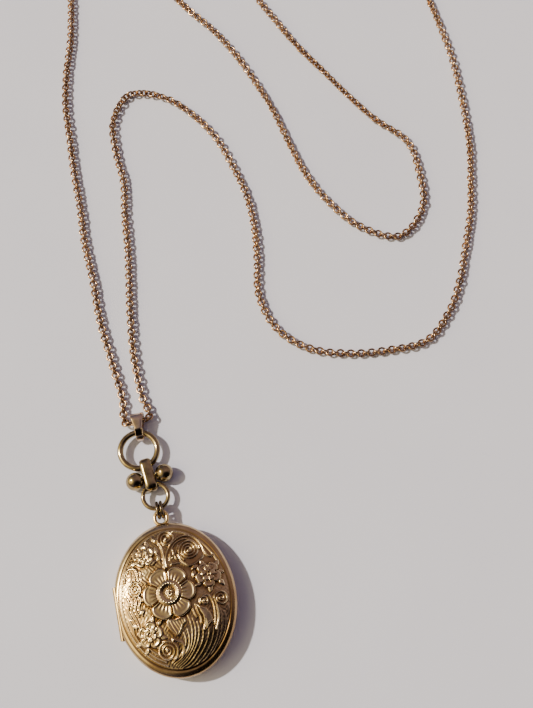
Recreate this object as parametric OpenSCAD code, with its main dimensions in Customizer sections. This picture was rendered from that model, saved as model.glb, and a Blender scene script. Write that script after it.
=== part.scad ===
// Oval hinged photo locket on a ring, strap and ball drop, with its rolo neck chain.
// Frame: origin at the centre of the locket's flat back, +Y towards the eye, +Z out of the
// embossed front, hinge on the -X side. Millimetres.

/* [Locket] */
// Width of the oval body
locket_w = 30.2; // [28:0.1:32]
// Length of the oval body
locket_l = 37.9; // [36:0.1:40]
// Depth of the plain back half
back_h = 4; // [3.8:0.1:4.4]
// Height of the embossed front half
front_h = 4.4; // [4.2:0.1:5]
// Thickness of the stamped sheet
sheet_t = 0.5; // [0.4:0.05:0.6]

/* [Hinge] */
// Radius of the hinge knuckles
knuckle_r = 0.7; // [0.65:0.05:0.75]
// Radius of the hinge pin
pin_r = 0.3; // [0.26:0.01:0.34]
// Length of each of the two cover knuckles
outer_knuckle_l = 3.8; // [3:0.1:4.5]
// Length of the middle knuckle
mid_knuckle_l = 5.2; // [4:0.1:6]

/* [Drop] */
// Centre-line radius of the upper ring
upper_ring_r = 4.9; // [4.8:0.01:5]
// Wire radius of the upper ring
upper_wire_r = 0.8; // [0.7:0.01:0.82]
// Centre-line radius of the lower ring
lower_ring_r = 3.28; // [3.2:0.01:3.35]
// Wire radius of the lower ring
lower_wire_r = 0.58; // [0.5:0.01:0.6]
// Centre-line radius of the two jump rings
jump_ring_r = 2; // [1.95:0.01:2.02]
// Wire radius of the two jump rings
jump_wire_r = 0.42; // [0.38:0.01:0.43]
// Diameter of the two balls
ball_d = 4.8; // [4.4:0.1:5]
// Distance between the ball centres
ball_pitch = 7.9; // [7.8:0.1:9]
// Width of the strap link
strap_w = 3; // [2.4:0.1:3.1]

/* [Chain] */
// Outer diameter of the chain, over its links
chain_d = 2.4; // [2.1:0.02:2.4]

/* [Hidden] */

gold = [0.72, 0.56, 0.30];
brass = [0.50, 0.42, 0.24];
rose = [0.78, 0.55, 0.36];
pale = [0.80, 0.74, 0.62];

sides = 72;                    // flats round the oval
arc_steps = 24;                // flats round the end of a band
part_z = back_h;               // parting plane between the two halves
top_z = back_h + front_h;      // highest point of the front
rim_gap = 0.03;                // air left on each side of the parting plane
big = 60;                      // larger than any locket part
liner_in = 2.2;                // inset of the liners' inner wall
plate_in = 2.3;                // inset of the cards and windows
frame_in = 3.5;                // inset of the opening in the two frames
liner_h = 1.1;                 // height of the cover's liner over the parting plane
lip_h = 0.75;                  // height of the back's snap lip over the parting plane
ledge_z = 2.4;                 // underside of the back's liner
card_t = 0.25;
window_t = 0.25;
level = 2.4;                   // height of the drop's centre plane over the table

hinge_x = -locket_w / 2 + 0.75;
hinge_y = -0.6;                // centre of the barrel along Y
hinge_gap = 0.12;              // air round a knuckle in the half it isn't soldered to
hinge_flat = hinge_x + 0.25;   // flat side of the cover beside the barrel
rim_notch = 0.95;              // depth of the notch in the back's rim outside the barrel
knuckle_gap = 0.1;             // slot between neighbouring knuckles
leaf_t = 0.6;
leaf_reach = 1.4;
leaf_gap = 0.06;               // air between a leaf and the parting plane

eye_c = [-0.05, 20.98, 3.4];     // centre of the eye's round end
eye_r = 1.57;
eye_wire_r = 0.46;
eye_leg_l = 3;
jump_c = [0.05, 22.95, 2.85];
jump_spacing = 1;
lower_c = [-0.45, 26.9, level];
strap_c = [-1.25, 32.87, level];
strap_l = 9.15;
strap_t = 0.6;
strap_end_r = 1.95;
strap_lean = 5;
bar_c = [-1.1, 32.25, level];
bar_r = 0.55;
bar_inset = 1;                 // how far short of the ball centres the bar ends
bar_tilt = 5;
upper_c = [-2.62, 40.05, level];
bail_x = -1.55;
bail_lean = -1;
bail_y = [44, 48.2];           // centres of the bail's small and large ends
bail_end_r = [1.4, 2.1];
bail_t = 0.45;
bail_w = [2, 2.2, 4.1];        // width at the small end, at the waist and at the large end
bail_waist = 46.2;
seam = 0.05;                   // butt joint in each bent ring

clasp_c = [87, 209.5, 1.65];
clasp_turn = -8;
clasp_r = 2.9;
clasp_tube_r = 0.8;
clasp_hole_r = 0.5;
bolt_r = 0.42;
gate = [25, 65];               // the gap that the bolt closes, degrees round the clasp
slot = [-90, -34];             // the slot that the thumb knob travels in
knob_at = -42;
bolt_span = [-65, 69];
spring_span = [-160, -66];
spring_coils = 9;
spring_r = 0.34;
spring_wire_r = 0.07;

// Route of the chain's left half: from inside the bail up, round and across to the clasp
left_route = [
  [-1.55, 48.1, 2.4], [-3.9, 47.9, 2.3], [-5, 48.8, 1.7], [-5.1, 51, 1.2], [-4.7, 56.5, 1.2],
  [-6, 69, 1.2], [-7, 81, 1.2], [-7, 93.5, 1.2], [-7.5, 105.5, 1.2], [-7, 118, 1.2],
  [-7, 130, 1.2], [-6.5, 142.5, 1.2], [-6, 154.5, 1.2], [-4, 166.5, 1.2], [-1, 178.5, 1.2],
  [1, 190.5, 1.2], [3, 202, 1.2], [9, 211, 1.2], [18.5, 213, 1.2], [26.5, 207.5, 1.2],
  [31.5, 196, 1.2], [38, 183.5, 1.2], [44.5, 173, 1.2], [49.5, 162, 1.2], [53.5, 150, 1.2],
  [56.5, 138.5, 1.2], [58.5, 126.5, 1.2], [61, 114, 1.2], [65.5, 103, 1.2], [72.5, 93, 1.2],
  [83, 87.5, 1.2], [92, 95, 1.2], [94.5, 106.5, 1.2], [94, 118.5, 1.2], [86.5, 128.5, 1.2],
  [80.5, 139, 1.2], [75, 150, 1.2], [69.5, 161, 1.2], [65, 172.5, 1.2], [61, 184, 1.2],
  [60.5, 195.5, 1.2], [66.5, 205.5, 1.2], [73.5, 209.5, 1.35], [80, 210.5, 1.65]];

// Route of the chain's right half: from inside the bail up, down the second loop and to the end ring
right_route = [
  [-1.55, 48.1, 2.4], [0.9, 48.2, 2.3], [1.8, 49.3, 1.7], [1.6, 51.5, 1.2], [0.6, 56, 1.2],
  [0.5, 67.5, 1.2], [1.5, 78.5, 1.2], [3, 89.5, 1.2], [4.5, 100.5, 1.2], [5.5, 112, 1.2],
  [7, 123, 1.2], [6.5, 134, 1.2], [7.5, 145.5, 1.2], [14, 154, 1.2], [24, 151, 1.2],
  [31.5, 143, 1.2], [37, 133, 1.2], [40, 122, 1.2], [42, 111, 1.2], [42, 100, 1.2],
  [40.5, 89, 1.2], [38.5, 78, 1.2], [41, 67, 1.2], [48.5, 59, 1.2], [59, 55, 1.2],
  [70, 53.5, 1.2], [81.5, 54, 1.2], [90, 61, 1.2], [96, 70, 1.2], [101, 80.5, 1.2],
  [105.5, 90.5, 1.2], [109, 101.5, 1.2], [112, 112, 1.2], [114, 123, 1.2],
  [115.5, 134.5, 1.2], [116.5, 145.5, 1.2], [116.5, 156.5, 1.2], [116, 168, 1.2],
  [115, 179.5, 1.2], [111.5, 191, 1.2], [105, 201, 1.2], [97.5, 207, 1.4], [92.1, 208.8, 1.65]];

// ---------- shared shapes ----------

// Points of the oval, scaled by s and then drawn in by the inset d
function oval(s, d) = [for (i = [0:sides - 1]) let (t = 360 * i / sides)
  [(locket_w / 2 * s - d) * cos(t), (locket_l / 2 * s - d) * sin(t)]];

module oval_plate(d, z0, z1) {
  translate([0, 0, z0]) linear_extrude(z1 - z0) polygon(oval(1, d));
}

module oval_band(d_out, d_in, z0, z1) {
  translate([0, 0, z0]) linear_extrude(z1 - z0) difference() {
    polygon(oval(1, d_out));
    polygon(oval(1, d_in));
  }
}

// Stamped bowl with a flat side at flat_x: each profile entry is [scale, inset, z], from the
// outer floor over the rim to the inner floor
module oval_bowl(profile, flat_x) {
  last = len(profile) - 1;
  points = [for (p = profile) for (q = oval(p[0], p[1])) [max(q[0], flat_x + p[1]), q[1], p[2]]];
  walls = [for (k = [0:last - 1], i = [0:sides - 1]) let (j = (i + 1) % sides)
    each [[k * sides + i, (k + 1) * sides + i, (k + 1) * sides + j],
          [k * sides + i, (k + 1) * sides + j, k * sides + j]]];
  floors = [[for (i = [0:sides - 1]) i],
            [for (i = [sides - 1:-1:0]) last * sides + i]];
  polyhedron(points, concat(floors, walls));
}

// Ring of round wire in the XY plane with a butt seam at the given angle
module wire_ring(r, wire_r, seam_at) {
  difference() {
    rotate_extrude($fn = 64) translate([r, 0]) circle(wire_r, $fn = 24);
    rotate([0, 0, seam_at]) translate([r, 0, 0]) cube([3 * wire_r, seam, 3 * wire_r], center = true);
  }
}

// Closed loop outline of two arcs joined by straight sides, in the XY plane along +X
function arc_points(x, r, from, to) = [for (i = [0:arc_steps])
  let (a = from + (to - from) * i / arc_steps) [x + r * cos(a), r * sin(a)]];

module loop_outline(x0, r0, x1, r1) {
  a = acos((r0 - r1) / (x1 - x0));
  polygon(concat(arc_points(x0, r0, a, 360 - a), arc_points(x1, r1, -a, a)));
}

// Band bent to that outline, standing in the YZ plane, w wide along X
module loop_band(y0, r0, y1, r1, t, w) {
  rotate([90, 0, 90]) translate([0, 0, -w / 2]) linear_extrude(w) difference() {
    loop_outline(y0, r0, y1, r1);
    loop_outline(y0, r0 - t, y1, r1 - t);
  }
}

function unit(v) = v / norm(v);
function heading(route, i) = let (last = len(route) - 1)
  unit(route[min(i + 1, last)] - route[max(i - 1, 0)]);

// Tube swept through a list of points, with its end faces square to the given end headings
module tube(route, r, n, first) {
  last = len(route) - 1;
  points = [for (i = [0:last])
    let (t = i == 0 ? first : heading(route, i), u = unit(cross(t, [0, 0, 1])), v = cross(u, t))
    for (k = [0:n - 1]) route[i] + r * (cos(360 * (k + 0.5) / n) * u + sin(360 * (k + 0.5) / n) * v)];
  walls = [for (i = [0:last - 1], k = [0:n - 1]) let (m = (k + 1) % n)
    each [[i * n + k, (i + 1) * n + k, (i + 1) * n + m], [i * n + k, (i + 1) * n + m, i * n + m]]];
  ends = [[for (k = [0:n - 1]) k], [for (k = [n - 1:-1:0]) last * n + k]];
  polyhedron(points, concat(ends, walls));
}

// ---------- hinge ----------

half_mid = mid_knuckle_l / 2;
outer_start = half_mid + knuckle_gap;

module along_hinge(y0, y1, r) {
  translate([hinge_x, hinge_y + y0, part_z]) rotate([-90, 0, 0]) cylinder(h = y1 - y0, r = r, $fn = 32);
}

module outer_knuckle_space(r) {
  along_hinge(outer_start, outer_start + outer_knuckle_l, r);
  along_hinge(-outer_start - outer_knuckle_l, -outer_start, r);
}

// Room for the whole barrel in a half, wider by the running air
barrel_reach = outer_start + outer_knuckle_l + knuckle_gap;
module barrel_space() { along_hinge(-barrel_reach, barrel_reach, knuckle_r + hinge_gap); }

// Notch in the back's rim that the cover's edge swings through
module rim_notch_space() {
  translate([hinge_x - big, hinge_y - barrel_reach, part_z - rim_notch])
    cube([big, 2 * barrel_reach, 2 * rim_notch]);
}

module back_leaf_space() {
  translate([hinge_x, hinge_y - half_mid, part_z - leaf_t - leaf_gap])
    cube([leaf_reach, mid_knuckle_l, leaf_t]);
}

module cover_leaf_space() {
  for (y = [outer_start, -outer_start - outer_knuckle_l])
    translate([hinge_x, hinge_y + y, part_z + leaf_gap]) cube([leaf_reach, outer_knuckle_l, leaf_t]);
}

module back_knuckle() {
  color(gold) difference() {
    union() {
      along_hinge(-half_mid, half_mid, knuckle_r);
      back_leaf_space();
    }
    along_hinge(-half_mid - 1, half_mid + 1, pin_r);
  }
}

module cover_knuckles() {
  color(gold) difference() {
    union() {
      outer_knuckle_space(knuckle_r);
      cover_leaf_space();
    }
    along_hinge(-big / 2, big / 2, pin_r + 0.04);
  }
}

module hinge_pin() {
  reach = outer_start + outer_knuckle_l + 0.15;
  color(brass) along_hinge(-reach, reach, pin_r);
}

// ---------- back half ----------

module back_shell() {
  color(gold) difference() {
    oval_bowl([[0.74, 0, 0], [0.82, 0, 0.12], [0.89, 0, 0.55], [0.94, 0, 1.15], [0.975, 0, 1.95],
      [1, 0, 3], [1, 0, part_z - rim_gap], [1, sheet_t, part_z - rim_gap], [1, sheet_t, 2.3],
      [0.93, 0, 1.65], [0.88, 0, 1.05], [0.81, 0, 0.62], [0.73, 0, 0.5]], -big);
    barrel_space();
    rim_notch_space();
    back_leaf_space();
  }
}

module back_collar() {
  color(gold) difference() {
    union() {
      oval_band(sheet_t, liner_in, ledge_z, part_z - 0.1);
      oval_band(liner_in, frame_in - 0.1, ledge_z, ledge_z + 0.3);
      oval_band(sheet_t + 0.25, sheet_t + 0.7, part_z - 0.1, part_z + lip_h);
    }
    barrel_space();
    rim_notch_space();
    back_leaf_space();
    translate([-big / 2 - 8, -9, part_z - 0.1]) cube([big / 2, 18, 2]);
  }
}

card_z = ledge_z + 0.3;
module back_card() { color("ivory") oval_plate(plate_in, card_z, card_z + card_t); }
module back_window() {
  color([0.8, 0.9, 0.95, 0.5]) oval_plate(plate_in, card_z + card_t, card_z + card_t + window_t);
}
module back_frame() {
  color(gold) oval_band(plate_in, frame_in, card_z + card_t + window_t, part_z - 0.15);
}

// Half-round snap bead on the collar's lip, opposite the hinge
module catch_bead() {
  color(gold) translate([locket_w / 2 - sheet_t - 0.25, 0, part_z + 0.4]) rotate([90, 0, 0])
    difference() {
      cylinder(h = 3, r = 0.14, center = true, $fn = 24);
      translate([-0.6, 0, 0]) cube([1.2, 1, 4], center = true);
    }
}

// Loop of wire with a round end and two straight legs down to the shell
module locket_eye() {
  color(brass) difference() {
    translate(eye_c) {
      rotate_extrude(angle = 180, $fn = 64) translate([eye_r, 0]) circle(eye_wire_r, $fn = 24);
      for (x = [-eye_r, eye_r]) translate([x, 0.1, 0]) rotate([90, 0, 0])
        cylinder(h = eye_leg_l, r = eye_wire_r - 0.03, $fn = 24);
    }
    oval_plate(0, 0, part_z + 1);
  }
}

// ---------- cover ----------

module front_shell() {
  color(gold) difference() {
    translate([0, 0, top_z]) mirror([0, 0, 1]) oval_bowl([[0.06, 0, 0], [0.2, 0, 0.06],
      [0.4, 0, 0.25], [0.56, 0, 0.6], [0.7, 0, 1.1], [0.8, 0, 1.65], [0.86, 0, 2.05],
      [0.888, 0, 2.27], [0.904, 0, 2.5], [0.918, 0, 2.38], [0.94, 0, 2.5], [0.96, 0, 2.68],
      [0.975, 0, 2.87], [0.987, 0, 3.1], [0.995, 0, 3.35], [1, 0, 3.65], [1, 0, front_h - rim_gap],
      [1, sheet_t, front_h - rim_gap], [1, sheet_t, front_h - liner_h - 0.1], [0.968, sheet_t, 2.95],
      [0.87, 0, 2.65], [0.78, 0, 2.05], [0.6, 0, 1.25], [0.35, 0, 0.7], [0.12, 0, 0.55]], hinge_flat);
    barrel_space();
    cover_leaf_space();
  }
}

module front_collar() {
  color(gold) difference() {
    union() {
      oval_band(sheet_t, liner_in, part_z + liner_h - 0.25, part_z + liner_h);
      oval_band(sheet_t + 0.8, liner_in, part_z + 0.1, part_z + liner_h - 0.25);
      oval_band(liner_in, frame_in - 0.3, part_z + liner_h - 0.25, part_z + liner_h);
    }
    translate([hinge_flat + sheet_t - big, -big / 2, part_z]) cube([big, big, 2 * liner_h]);
    barrel_space();
    cover_leaf_space();
  }
}

front_card_z = part_z + liner_h - 0.25 - card_t;
module front_card() { color("ivory") oval_plate(plate_in, front_card_z, front_card_z + card_t); }
module front_window() {
  color([0.8, 0.9, 0.95, 0.5]) oval_plate(plate_in, front_card_z - window_t, front_card_z);
}
module front_frame() {
  color(gold) oval_band(plate_in, frame_in, part_z + 0.12, front_card_z - window_t);
}

// ---------- drop between locket and chain ----------

module jump_ring(x) {
  color(brass) translate([jump_c[0] + x, jump_c[1], jump_c[2]]) rotate([0, 90, 0])
    wire_ring(jump_ring_r, jump_wire_r, 180);
}

module jump_ring_left() { jump_ring(-jump_spacing / 2); }
module jump_ring_right() { jump_ring(jump_spacing / 2); }

module lower_ring() {
  color(brass) translate(lower_c) wire_ring(lower_ring_r, lower_wire_r, -20);
}

// Everything on the strap shares its place and lean
module at_strap() { translate(strap_c) rotate([0, 0, strap_lean]) children(); }
module at_bar() { translate(bar_c) rotate([0, 0, bar_tilt]) children(); }

module strap_link() {
  reach = strap_l / 2 - strap_end_r;
  color(brass) at_strap() loop_band(-reach, strap_end_r, reach, strap_end_r, strap_t, strap_w);
}

module bar_cylinder(half_length) {
  at_bar() rotate([0, 90, 0]) cylinder(h = 2 * half_length, r = bar_r, center = true, $fn = 32);
}

module ball_bar() { color(brass) bar_cylinder(ball_pitch / 2 - bar_inset); }

module drilled_ball(side) {
  difference() {
    at_bar() translate([side * ball_pitch / 2, 0, 0]) sphere(d = ball_d, $fn = 64);
    bar_cylinder(ball_pitch / 2 - bar_inset);
  }
}

module ball_left() { color(brass) drilled_ball(-1); }
module ball_right() { color(brass) drilled_ball(1); }

module upper_ring() {
  color(brass) translate(upper_c) wire_ring(upper_ring_r, upper_wire_r, 175);
}

// Tapered band, wide where the chain passes and narrow where it holds the upper ring
module bail() {
  low = bail_y[0] - bail_end_r[0];
  high = bail_y[1] + bail_end_r[1];
  half = bail_w / 2;
  color(pale) translate([bail_x, bail_y[1], level]) rotate([0, 0, bail_lean])
    translate([0, -bail_y[1], 0]) intersection() {
      loop_band(bail_y[0], bail_end_r[0], bail_y[1], bail_end_r[1], bail_t, bail_w[2]);
      translate([0, 0, -5]) linear_extrude(10) polygon([[-half[0], low], [half[0], low],
        [half[1], bail_waist], [half[2], high], [-half[2], high], [-half[1], bail_waist]]);
    }
}

// ---------- neck chain and its clasp ----------

module chain_left() { color(rose) tube(left_route, chain_d / 2, 8, [-1, 0, 0]); }
module chain_right() { color(rose) tube(right_route, chain_d / 2, 8, [1, 0, 0]); }

module at_clasp() { translate(clasp_c) rotate([0, 0, clasp_turn]) children(); }

// Part of a ring of round rod, from one angle to another
module arc_rod(span, r) {
  rotate([0, 0, span[0]]) rotate_extrude(angle = span[1] - span[0], $fn = 64)
    translate([clasp_r, 0]) circle(r, $fn = 24);
}

module clasp_ring() {
  color(rose) at_clasp() difference() {
    arc_rod([gate[1], 360 + gate[0]], clasp_tube_r);
    arc_rod([spring_span[0] - 2, gate[0] + 4], clasp_hole_r);
    arc_rod([gate[1] - 4, bolt_span[1] + 3], clasp_hole_r);
    rotate([0, 0, slot[0]]) rotate_extrude(angle = slot[1] - slot[0], $fn = 64)
      translate([clasp_r, -0.38]) square([2, 0.76]);
  }
}

module clasp_bolt() {
  color(pale) at_clasp() {
    arc_rod(bolt_span, bolt_r);
    rotate([0, 0, knob_at]) translate([clasp_r, 0, 0]) rotate([0, 90, 0])
      cylinder(h = 1.9, r = 0.3, $fn = 24);
  }
}

// Coil spring bent along the clasp's arc
function spring_point(f) = let (a = spring_span[0] + 1 + f * (spring_span[1] - spring_span[0] - 2),
    b = 360 * spring_coils * f, r = clasp_r + spring_r * cos(b))
  [r * cos(a), r * sin(a), spring_r * sin(b)];

module clasp_spring() {
  steps = spring_coils * 12;
  color("silver") at_clasp()
    tube([for (i = [0:steps]) spring_point(i / steps)], spring_wire_r, 6,
      unit(spring_point(1 / steps) - spring_point(0)));
}

module clasp_eye() {
  color(rose) at_clasp() difference() {
    translate([-4.65, 0, 0]) rotate([90, 0, 0])
      rotate_extrude($fn = 48) translate([0.95, 0]) circle(0.28, $fn = 20);
    rotate_extrude($fn = 64) translate([clasp_r, 0]) circle(clasp_tube_r, $fn = 24);
  }
}

module clasp_link() {
  color(rose) at_clasp() translate([-6.15, 0, 0]) wire_ring(1.25, 0.28, 90);
}

module end_ring() {
  color(rose) at_clasp() translate([3.15, 0, 0.5]) rotate([90, 0, 0]) wire_ring(1.75, 0.33, -45);
}

back_shell();
back_collar();
back_card();
back_window();
back_frame();
catch_bead();
back_knuckle();
hinge_pin();
locket_eye();
front_shell();
front_collar();
front_card();
front_window();
front_frame();
cover_knuckles();
jump_ring_left();
jump_ring_right();
lower_ring();
strap_link();
ball_bar();
ball_left();
ball_right();
upper_ring();
bail();
chain_left();
chain_right();
clasp_ring();
clasp_bolt();
clasp_spring();
clasp_eye();
clasp_link();
end_ring();
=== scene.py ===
"""Oval locket on a ring, strap and ball drop, with its rolo neck chain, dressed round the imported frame."""
import math

import bpy
import numpy as np
from mathutils import Matrix, Vector


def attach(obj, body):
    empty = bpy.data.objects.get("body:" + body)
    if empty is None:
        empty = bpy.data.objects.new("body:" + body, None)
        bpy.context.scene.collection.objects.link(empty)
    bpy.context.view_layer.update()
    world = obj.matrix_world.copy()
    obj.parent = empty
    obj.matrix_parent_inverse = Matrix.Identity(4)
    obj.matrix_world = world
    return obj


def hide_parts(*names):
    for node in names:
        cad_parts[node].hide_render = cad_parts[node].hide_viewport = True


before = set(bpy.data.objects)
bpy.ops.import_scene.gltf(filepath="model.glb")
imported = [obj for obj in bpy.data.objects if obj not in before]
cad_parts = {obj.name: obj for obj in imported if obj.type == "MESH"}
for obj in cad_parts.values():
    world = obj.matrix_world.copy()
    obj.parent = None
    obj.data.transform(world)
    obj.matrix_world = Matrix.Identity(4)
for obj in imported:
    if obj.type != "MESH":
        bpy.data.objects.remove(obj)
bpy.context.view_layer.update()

MM = 0.001

# ---------- sizes, in millimetres, as the frame's pieces have them ----------

# The locket's oval, its parting plane and sheet, and the room it leaves for its hinge
HALF_W = 15.1
HALF_L = 18.95
PART_Z = 4.0
RIM_GAP = 0.03
SHEET = 0.5
HINGE_X = -14.35
HINGE_Y = -0.6
HINGE_REACH = 6.6
HINGE_FLAT = HINGE_X + 0.25
BARREL_CLEAR = 0.83
LIP_FOOT = 3.9
RIM_NOTCH = 0.96

# The neck chain's links
CHAIN_D = 2.4
LINK_WIRE_R = 0.29
LINK_PITCH = 1.45
LINK_R = CHAIN_D / 2 - LINK_WIRE_R
LINK_LONG_R = LINK_PITCH / 2 + LINK_WIRE_R
LINK_SWAY_DEG, LINK_TWIST_DEG = 7, 14

# The drop, whose middle lies at LEVEL: its rings, eye, balls, strap and bail.
# A loop's ends are (low place, low radius, high place, high radius) along its own line.
LEVEL = 2.4
WIRE_SIDES = 24
UPPER_RING = {"centre": (-2.62, 40.05, LEVEL), "radius": 4.9, "wire": 0.8, "seam": 175}
LOWER_RING = {"centre": (-0.45, 26.9, LEVEL), "radius": 3.28, "wire": 0.58, "seam": -20}
JUMP_RINGS = {"middle": (0.05, 22.95, 2.85), "apart": 1.0, "radius": 2.0, "wire": 0.42}
EYE = {"across": -0.05, "top": 20.98, "bottom": 20.62, "level": 3.4, "radius": 1.57, "wire": 0.46}
BALLS = {"middle": (-1.1, 32.25, LEVEL), "reach": 3.95, "radius": 2.4, "bore": 0.56, "tilt_deg": 5}
BAR_HALF, BAR_R = 2.95, 0.55
STRAP_PLACE, STRAP_LEAN, STRAP_HALF_W = (-1.25, 32.87, LEVEL), 5, 1.5
STRAP_ENDS = (-2.625, 1.35, 2.625, 1.35)
BAIL_PLACE, BAIL_LEAN = (-1.55, 48.2, LEVEL), -1
BAIL_ENDS = (-4.2, 0.95, 0, 1.65)
BAIL_FOOT = (43.6, 45.5)

# The routes of the two lengths of chain, from the bail to the clasp
LEFT_ROUTE = [
    (-1.55, 48.1, 2.4), (-3.9, 47.9, 2.3), (-5, 48.8, 1.7), (-5.1, 51, 1.2), (-4.7, 56.5, 1.2),
    (-6, 69, 1.2), (-7, 81, 1.2), (-7, 93.5, 1.2), (-7.5, 105.5, 1.2), (-7, 118, 1.2), (-7, 130, 1.2),
    (-6.5, 142.5, 1.2), (-6, 154.5, 1.2), (-4, 166.5, 1.2), (-1, 178.5, 1.2), (1, 190.5, 1.2),
    (3, 202, 1.2), (9, 211, 1.2), (18.5, 213, 1.2), (26.5, 207.5, 1.2), (31.5, 196, 1.2),
    (38, 183.5, 1.2), (44.5, 173, 1.2), (49.5, 162, 1.2), (53.5, 150, 1.2), (56.5, 138.5, 1.2),
    (58.5, 126.5, 1.2), (61, 114, 1.2), (65.5, 103, 1.2), (72.5, 93, 1.2), (83, 87.5, 1.2),
    (92, 95, 1.2), (94.5, 106.5, 1.2), (94, 118.5, 1.2), (86.5, 128.5, 1.2), (80.5, 139, 1.2),
    (75, 150, 1.2), (69.5, 161, 1.2), (65, 172.5, 1.2), (61, 184, 1.2), (60.5, 195.5, 1.2),
    (66.5, 205.5, 1.2), (73.5, 209.5, 1.35), (80, 210.5, 1.65)]

RIGHT_ROUTE = [
    (-1.55, 48.1, 2.4), (0.9, 48.2, 2.3), (1.8, 49.3, 1.7), (1.6, 51.5, 1.2), (0.6, 56, 1.2),
    (0.5, 67.5, 1.2), (1.5, 78.5, 1.2), (3, 89.5, 1.2), (4.5, 100.5, 1.2), (5.5, 112, 1.2),
    (7, 123, 1.2), (6.5, 134, 1.2), (7.5, 145.5, 1.2), (14, 154, 1.2), (24, 151, 1.2),
    (31.5, 143, 1.2), (37, 133, 1.2), (40, 122, 1.2), (42, 111, 1.2), (42, 100, 1.2), (40.5, 89, 1.2),
    (38.5, 78, 1.2), (41, 67, 1.2), (48.5, 59, 1.2), (59, 55, 1.2), (70, 53.5, 1.2), (81.5, 54, 1.2),
    (90, 61, 1.2), (96, 70, 1.2), (101, 80.5, 1.2), (105.5, 90.5, 1.2), (109, 101.5, 1.2),
    (112, 112, 1.2), (114, 123, 1.2), (115.5, 134.5, 1.2), (116.5, 145.5, 1.2), (116.5, 156.5, 1.2),
    (116, 168, 1.2), (115, 179.5, 1.2), (111.5, 191, 1.2), (105, 201, 1.2), (97.5, 207, 1.4),
    (92.1, 208.8, 1.65)]

# ---------- camera ----------

CAMERA_PLACE = (16.4, -29.9, 238.4)
CAMERA_RIGHT = (0.9754, -0.2204, 0.0)
CAMERA_UP = (0.2055, 0.9094, 0.3616)
CAMERA_AHEAD = (0.0797, 0.3527, -0.9323)
LENS, SENSOR = 46.5, 36


def add_camera():
    data = bpy.data.cameras.new("camera")
    data.sensor_width = SENSOR
    data.lens = LENS
    data.clip_start = 0.005
    camera = bpy.data.objects.new("camera", data)
    axes = Matrix((CAMERA_RIGHT, CAMERA_UP, [-c for c in CAMERA_AHEAD])).transposed().to_4x4()
    camera.matrix_world = Matrix.Translation(Vector(CAMERA_PLACE) * MM) @ axes
    bpy.context.scene.collection.objects.link(camera)
    bpy.context.scene.camera = camera


# ---------- materials ----------

def new_material(name):
    """A material with its node tree, and its Principled shader."""
    material = bpy.data.materials.new(name)
    material.use_nodes = True
    return material, material.node_tree, material.node_tree.nodes["Principled BSDF"]


def add_noise(tree, scale, detail=3.0, distortion=0.0):
    where = tree.nodes.new("ShaderNodeTexCoord")
    noise = tree.nodes.new("ShaderNodeTexNoise")
    noise.inputs["Scale"].default_value = scale
    noise.inputs["Detail"].default_value = detail
    noise.inputs["Distortion"].default_value = distortion
    tree.links.new(where.outputs["Object"], noise.inputs["Vector"])
    return noise.outputs["Fac"]


def add_ramp(tree, factor, stops):
    ramp = tree.nodes.new("ShaderNodeValToRGB")
    elements = ramp.color_ramp.elements
    while len(elements) < len(stops):
        elements.new(0.5)
    for element, (place, color) in zip(elements, stops):
        element.position = place
        element.color = (*color, 1)
    tree.links.new(factor, ramp.inputs["Fac"])
    return ramp.outputs["Color"]


def add_range(tree, factor, low, high):
    spread = tree.nodes.new("ShaderNodeMapRange")
    spread.inputs["To Min"].default_value = low
    spread.inputs["To Max"].default_value = high
    tree.links.new(factor, spread.inputs["Value"])
    return spread.outputs["Result"]


def mix_colors(tree, factor, first, second, blend="MIX"):
    mix = tree.nodes.new("ShaderNodeMix")
    mix.data_type = "RGBA"
    mix.blend_type = blend
    if factor is None:
        mix.inputs["Factor"].default_value = 1
    else:
        tree.links.new(factor, mix.inputs["Factor"])
    for value, socket in ((first, mix.inputs[6]), (second, mix.inputs[7])):
        if isinstance(value, tuple):
            socket.default_value = (*value, 1)
        else:
            tree.links.new(value, socket)
    return mix.outputs[2]


def add_bump(tree, shader, height, strength, depth_mm):
    bump = tree.nodes.new("ShaderNodeBump")
    bump.inputs["Strength"].default_value = strength
    bump.inputs["Distance"].default_value = depth_mm * MM
    tree.links.new(height, bump.inputs["Height"])
    tree.links.new(bump.outputs["Normal"], shader.inputs["Normal"])


def metal(name, light, dark, roughness, blotch=400, scratch=0.25, painted_reflection=False):
    """Worn metal: blotches of two tones, uneven polish and fine pits, and a painted black reflection where
    the mesh's attribute asks for it.
    """
    material, tree, shader = new_material(name)
    shader.inputs["Metallic"].default_value = 1
    tone = add_ramp(tree, add_noise(tree, blotch, 4), [(0.32, dark), (0.62, light)])
    # Painted reflection: black mixed into the colour where the mesh's attribute is low, standing for a dark
    # reflection.
    if painted_reflection:
        painted_shade_and_patina = tree.nodes.new("ShaderNodeAttribute")
        painted_shade_and_patina.attribute_name = "painted_shade_and_patina"
        tone = mix_colors(tree, painted_shade_and_patina.outputs["Fac"], (0.012, 0.009, 0.008), tone)
    tree.links.new(tone, shader.inputs["Base Color"])
    polish = add_range(tree, add_noise(tree, blotch * 3, 5), roughness[0], roughness[1])
    tree.links.new(polish, shader.inputs["Roughness"])
    add_bump(tree, shader, add_noise(tree, blotch * 9, 4), scratch, 0.02)
    return material


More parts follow.
